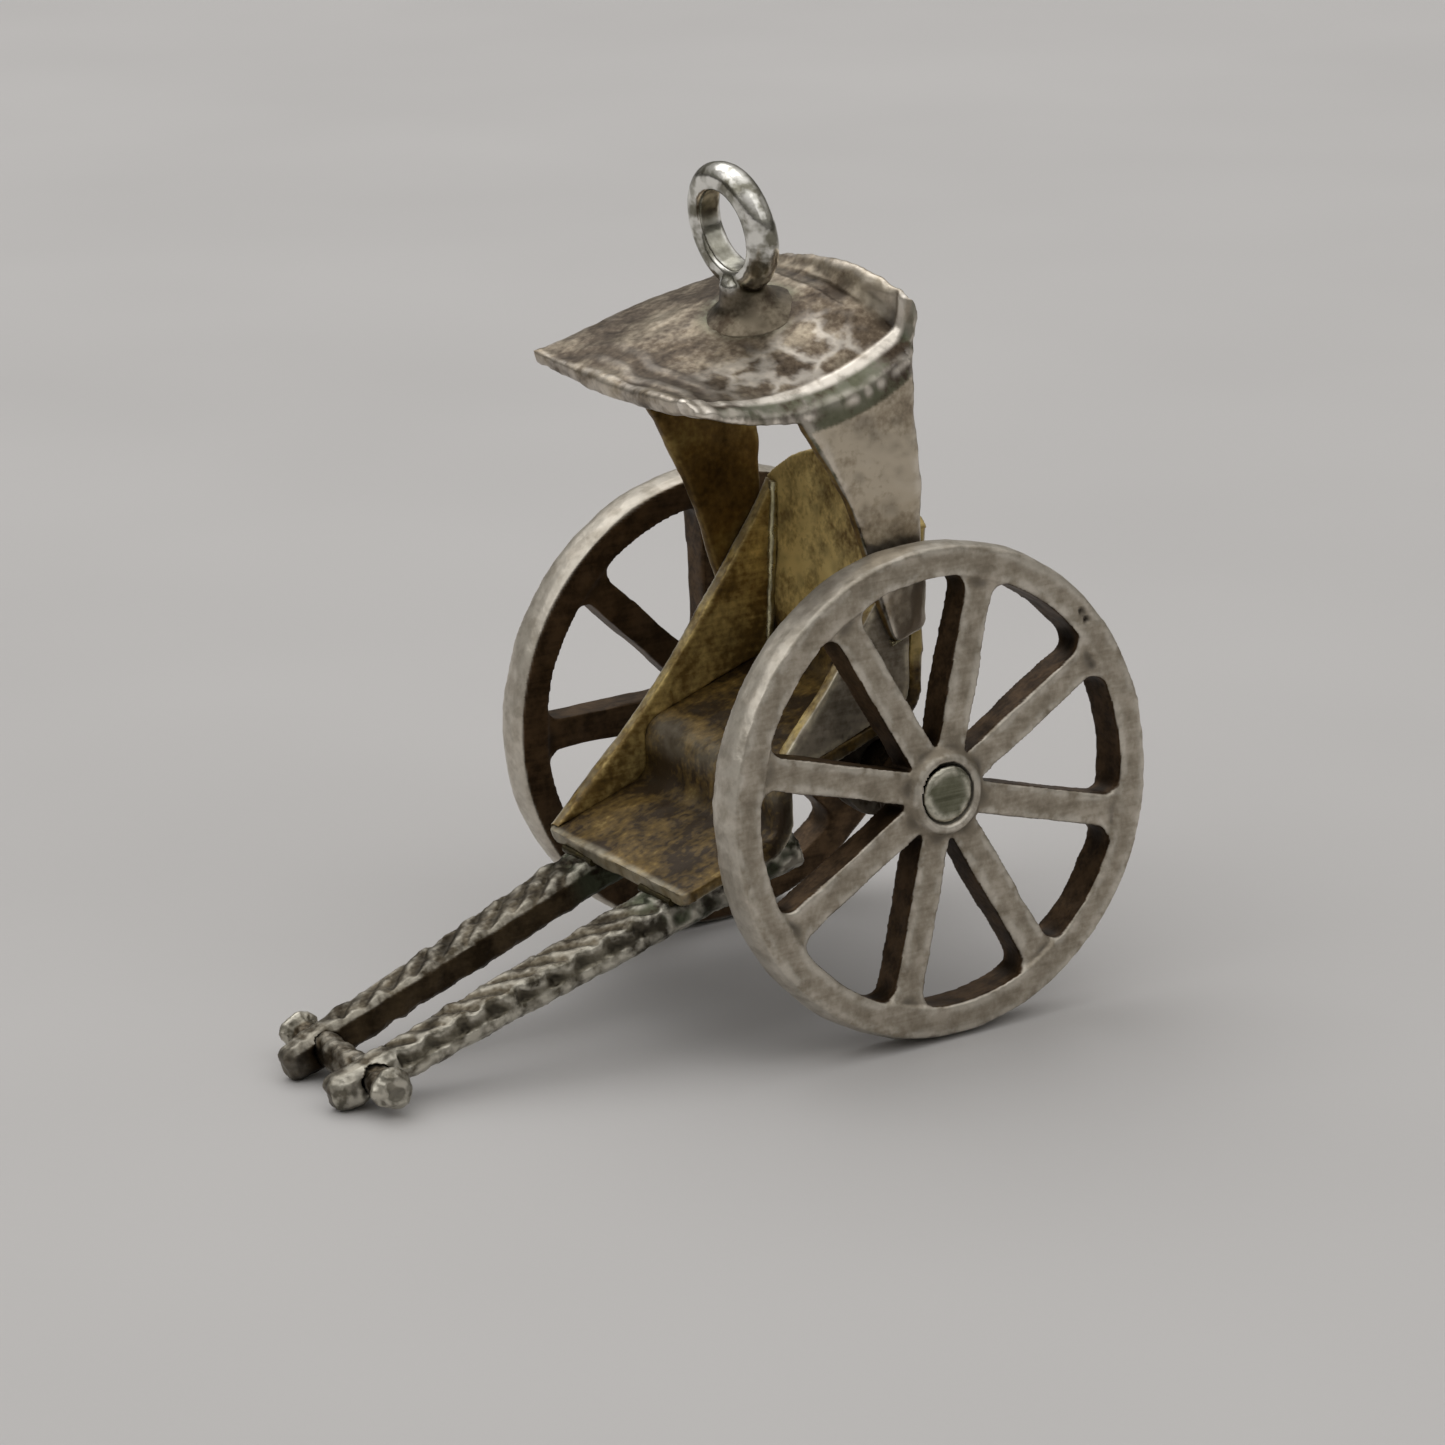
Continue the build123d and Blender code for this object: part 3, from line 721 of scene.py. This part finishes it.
# %% Ring and foot
ring_radius = 1.42  # mm, to the middle of the wire
wire_radius = 0.45  # mm
bore_radius = 1.15  # mm, where the wire is worn flat
ring_height = 2.37  # mm, of the ring's centre above the roof
ring_lean = radians(7.5)
roof_slope = -0.162  # of the roof under the foot, down towards the left
roof_curve = -0.055  # per mm, how that slope grows
wire_sides = 32
turn_steps = 64
weld_distance = 0.002  # mm
foot_outline = [
    # mm from the foot's middle, mm above the roof
    (0, -0.2),
    (1.35, -0.2),
    (1.35, -0.06),
    (1.1, 0.05),
    (0.88, 0.17),
    (0.74, 0.36),
    (0.64, 0.62),
    (0.57, 0.92),
    (0.4, 1.08),
    (0, 1.08),
]


def bail_shape():
    """Ring and foot as one mesh in millimetres, where the node has them."""
    shape = bmesh.new()
    turns = np.linspace(0, 2 * np.pi, wire_sides + 1)
    section = [(max(ring_radius + wire_radius * cos(t), bore_radius), wire_radius * sin(t), 0) for t in turns]
    outline = [(radius, 0, height) for radius, height in foot_outline]
    for points, axis in ((section, (0, 1, 0)), (outline, (0, 0, 1))):
        corners = [shape.verts.new(point) for point in points]
        lines = [shape.edges.new(pair) for pair in zip(corners, corners[1:])]
        bmesh.ops.spin(
            shape, geom=corners + lines, cent=(0, 0, 0), axis=axis, angle=2 * np.pi, steps=turn_steps
        )
        if axis == (0, 1, 0):
            for corner in shape.verts:
                corner.co.z += ring_height
                corner.co = Matrix.Rotation(-ring_lean, 3, "X") @ corner.co
            ring_corners = len(shape.verts)
    for corner in list(shape.verts)[ring_corners:]:
        share = min(max(1 - corner.co.z, 0), 1)
        corner.co.z += share * (roof_slope * corner.co.x + roof_curve * corner.co.x**2)
    bmesh.ops.remove_doubles(shape, verts=shape.verts, dist=weld_distance)
    bmesh.ops.recalc_face_normals(shape, faces=shape.faces)
    points = np.array([corner.co for corner in shape.verts]) + (0, bail_place, roof_top)
    for corner, point in zip(shape.verts, turned(points, rest_tilt) + axle_centre):
        corner.co = point
    mesh = bpy.data.meshes.new("bail_shape")
    shape.to_mesh(mesh)
    shape.free()
    return mesh


# %% [markdown]
# ## Finished pieces
# Each piece is a worn copy with its own dents, its marks and its finish, and it takes its node's
# place on the body that carries it. The dents follow a smooth noise that is the same in every run.

# %% Pieces
pieces = [
    # node, cell in mm, smoothing passes, finish, record's slot, rule, dent size and height in mm
    ("wheel_left", 0.07, 2, cast_silver, "worn_silver", wheel_marks, 1.8, 0.05),
    ("wheel_right", 0.08, 2, cast_silver, "worn_silver", wheel_marks, 1.8, 0.05),
    ("canopy", 0.06, 34, rolled_silver, "worn_silver", canopy_marks, 2.2, 0.10),
    ("seat", 0.07, 6, golden_silver, "golden_tarnish", seat_marks, 2.4, 0.10),
    ("seat_side_left", 0.05, 6, golden_silver, "golden_tarnish", side_marks, 2.4, 0.06),
    ("seat_side_right", 0.05, 6, golden_silver, "golden_tarnish", side_marks, 2.4, 0.06),
    ("shaft_left", 0.05, 3, chased_silver, "dark_silver", shaft_marks, 0.6, 0.07),
    ("shaft_right", 0.05, 3, chased_silver, "dark_silver", shaft_marks, 0.6, 0.07),
    ("crossbar", 0.04, 4, chased_silver, "dark_silver", bar_marks, 0.7, 0.12),
    ("axle", 0.06, 2, filed_silver, "dark_silver", axle_marks, 1.0, 0.02),
    ("axle_hanger_left", 0.06, 4, chased_silver, "dark_silver", hanger_marks, 1.0, 0.05),
    ("axle_hanger_right", 0.06, 4, chased_silver, "dark_silver", hanger_marks, 1.0, 0.05),
    ("bail", 0.05, 7, drawn_wire, "worn_silver", bail_marks, 0.9, 0.015),
]
dent_octaves = 4  # sizes of dent, each half the one before
body_of_node = {
    node: body for body, nodes in frame["record"]["behaviour"]["bodies"].items() for node in nodes
}


def finish_piece(name, mesh, finish, body):
    """Makes an object of a mesh in millimetres and hands it over."""
    mesh.transform(Matrix.Scale(mm, 4))
    mesh.polygons.foreach_set("use_smooth", [True] * len(mesh.polygons))
    mesh.materials.clear()
    mesh.materials.append(finish)
    piece = bpy.data.objects.new(name, mesh)
    scene_objects.link(piece)
    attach(piece, body)
    mesh.calc_loop_triangles()
    print(name, "triangles:", len(mesh.loop_triangles))
    return piece


for node, cell, passes, finish, slot, rule, dent_size, dent_height in pieces:
    mesh = worn(bail_shape() if node == "bail" else crisp_copy(node), cell, passes)
    points = read(mesh.vertices, "co", 3)
    normals = read(mesh.vertices, "normal", 3)
    untilt = 0 if node.startswith("wheel") else -rest_tilt
    marks = rule(turned(points - axle_centre, untilt), turned(normals, untilt))
    dents = np.array([noise.fractal(Vector(point) / dent_size, 1.0, 2.0, dent_octaves) for point in points])
    heights = dent_height * dents * (1 - marks.pop("smooth", 0)) + marks.pop("relief", 0)
    moved = points + normals * heights[:, None]
    moved[:, 2] += marks.pop("lift", 0)
    mesh.vertices.foreach_set("co", moved.astype(np.float32).ravel())
    marks["edge"], marks["hollow"] = edge_marks(mesh, cell)
    for mark in mark_names:
        store(mesh, mark, marks.get(mark, np.zeros(len(points))))
    piece = finish_piece(node + "_metal", mesh, finish, body_of_node[node])
    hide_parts(node)

# %% [markdown]
# ## Solder
# The sheets are joined with solder that ran along each joint and set in lumps. One tree of geometry
# nodes makes every seam: it walks along a path in small steps, swells and shrinks a round bead by a
# noise, and gives the bead its material. Only the path and the bead's size differ.

# %% The seam's node tree
seam_tree = bpy.data.node_groups.new("solder_seam", "GeometryNodeTree")
for name, kind in (
    ("Path", "NodeSocketGeometry"),
    ("Bead", "NodeSocketFloat"),
    ("Solder", "NodeSocketMaterial"),
):
    seam_tree.interface.new_socket(name, in_out="INPUT", socket_type=kind)
seam_tree.interface.new_socket("Seam", in_out="OUTPUT", socket_type="NodeSocketGeometry")
seam_inputs = add(seam_tree, "NodeGroupInput").outputs
step_length = 0.05  # mm
lump_size = 0.5  # mm
bead_sides = 16
steps_along = {"Curve": seam_inputs["Path"], "Length": step_length}
stepped = add(seam_tree, "GeometryNodeResampleCurve", steps_along, mode="LENGTH")
bead_size = {"Resolution": bead_sides, "Radius": seam_inputs["Bead"]}
round_bead = add(seam_tree, "GeometryNodeCurvePrimitiveCircle", bead_size)
swept = {"Curve": stepped, "Profile Curve": round_bead, "Fill Caps": True}
tube = add(seam_tree, "GeometryNodeCurveToMesh", swept)
lumps = add(seam_tree, noise_kind, {"Scale": 1 / lump_size, "Detail": 2})
centred = add(seam_tree, math_kind, {0: lumps, 1: -0.5}, operation="ADD")
swell = add(seam_tree, math_kind, {0: centred, 1: seam_inputs["Bead"]}, operation="MULTIPLY")
outward = add(seam_tree, "GeometryNodeInputNormal")
push = add(seam_tree, "ShaderNodeVectorMath", {0: outward, "Scale": swell}, operation="SCALE")
lumpy = add(seam_tree, "GeometryNodeSetPosition", {"Geometry": tube, "Offset": push})
whole = add(seam_tree, "GeometryNodeRealizeInstances", {"Geometry": lumpy})
coated = add(seam_tree, "GeometryNodeSetMaterial", {"Geometry": whole, "Material": seam_inputs["Solder"]})
add(seam_tree, "NodeGroupOutput", {"Seam": coated})
print("seam's nodes:", len(seam_tree.nodes))

# %% Seams along the joints
side_inside = 3.26  # mm, inner face of the seat's sides
back_foot, back_shoulder = (1.1, 1.75), (2.9, 6.3)  # mm, y and z up the corner of side and back
shaft_at_lip = 2.09  # mm, the shafts' middle where they meet the floor's lip
shaft_half_width = 0.8  # mm, there
shaft_top = -0.32  # mm
strap_foot = 3.62  # mm, height of the straps' feet
strap_inside = 3.75  # mm, inner face of the straps
seams = [
    # name, bead's radius in mm, points on the level carriage in mm
    ("corner_seam", 0.14, [(-side_inside, *back_foot), (-side_inside, *back_shoulder)]),
    ("strap_seam_left", 0.10, [(strap_inside, 1.15, strap_foot), (strap_inside, 2.1, strap_foot)]),
    ("strap_seam_right", 0.10, [(-strap_inside, 0.6, strap_foot), (-strap_inside, 1.9, strap_foot)]),
]
for side, name in ((1, "left"), (-1, "right")):
    ends = [(side * (shaft_at_lip + end * shaft_half_width), floor_lip, shaft_top) for end in (-1, 1)]
    seams.append((f"shaft_seam_{name}", 0.11, ends))

sockets = seam_tree.interface.items_tree
input_named = {socket.name: socket.identifier for socket in sockets if socket.in_out == "INPUT"}
for name, bead, level_path in seams:
    path = turned(np.array(level_path, float), rest_tilt) + axle_centre
    curve = bpy.data.curves.new(name, "CURVE")
    curve.dimensions = "3D"
    spline = curve.splines.new("POLY")
    spline.points.add(len(path) - 1)
    for point, place in zip(spline.points, path):
        point.co = (*place, 1)
    helper = bpy.data.objects.new(name + "_path", curve)
    scene_objects.link(helper)
    maker = helper.modifiers.new("solder_seam", "NODES")
    maker.node_group = seam_tree
    maker[input_named["Bead"]] = bead
    maker[input_named["Solder"]] = run_solder
    evaluated = helper.evaluated_get(bpy.context.evaluated_depsgraph_get())
    mesh = bpy.data.meshes.new_from_object(evaluated)
    bpy.data.objects.remove(helper)
    levels = {"exposed": 0.6, "bright": 0.25, "pale": 0.6}
    if name.startswith("shaft"):
        levels = {"exposed": 0.2, "grime_and_shade": 0.8}
    for mark in mark_names:
        store(mesh, mark, np.full(len(mesh.vertices), levels.get(mark, 0.0)))
    finish_piece(name, mesh, run_solder, "carriage")
